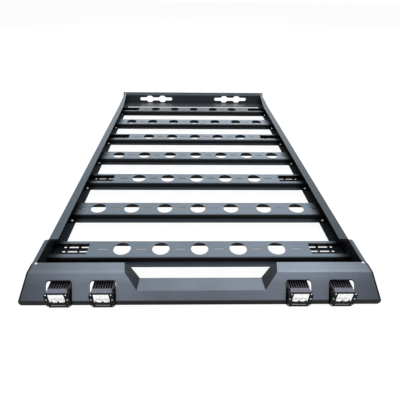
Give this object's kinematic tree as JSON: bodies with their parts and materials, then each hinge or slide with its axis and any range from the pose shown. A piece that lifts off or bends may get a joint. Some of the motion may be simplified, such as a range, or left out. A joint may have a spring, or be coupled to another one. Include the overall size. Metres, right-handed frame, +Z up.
{
  "type": "flat roof cargo rack with lamp fairing",
  "caption": "Full-length flat roof cargo rack: folded side rails and pierced crossbars, a front wind fairing with square lamps and a raised rear panel.",
  "frame": {"origin": "middle of the bounding box at the height of the fairing's lower edge", "axes": "X across the rack, Y lengthwise from the lamp fairing at -Y to the rear panel at +Y, Z up"},
  "size_m": [1.251, 2.1284, 0.1165],
  "materials": {
    "powder_coat": "fine textured matte black powder coat on sheet metal",
    "lamp_casting": "black die-cast aluminium, satin",
    "lamp_bezel": "satin black",
    "lamp_lens": "clear polycarbonate, polished",
    "bracket_coat": "black coated steel strip"
  },
  "bodies": {
    "root": {"crossbar_1": "powder_coat", "crossbar_2": "powder_coat", "crossbar_3": "powder_coat", "crossbar_4": "powder_coat", "crossbar_5": "powder_coat", "crossbar_6": "powder_coat", "crossbar_7": "powder_coat", "side_rail_left": "powder_coat", "front_side_plate_left": "powder_coat", "mounting_plate_1_left": "powder_coat", "mounting_plate_3_left": "powder_coat", "mounting_plate_5_left": "powder_coat", "mounting_plate_7_left": "powder_coat", "side_rail_right": "powder_coat", "front_side_plate_right": "powder_coat", "mounting_plate_1_right": "powder_coat", "mounting_plate_3_right": "powder_coat", "mounting_plate_5_right": "powder_coat", "mounting_plate_7_right": "powder_coat", "front_fairing": "powder_coat", "rear_panel": "powder_coat", "lamp_1_housing": "lamp_casting", "lamp_1_bezel": "lamp_bezel", "lamp_1_lens": "lamp_lens", "lamp_1_bracket": "bracket_coat", "lamp_2_housing": "lamp_casting", "lamp_2_bezel": "lamp_bezel", "lamp_2_lens": "lamp_lens", "lamp_2_bracket": "bracket_coat", "lamp_3_housing": "lamp_casting", "lamp_3_bezel": "lamp_bezel", "lamp_3_lens": "lamp_lens", "lamp_3_bracket": "bracket_coat", "lamp_4_housing": "lamp_casting", "lamp_4_bezel": "lamp_bezel", "lamp_4_lens": "lamp_lens", "lamp_4_bracket": "bracket_coat"}
  },
  "joints": []
}
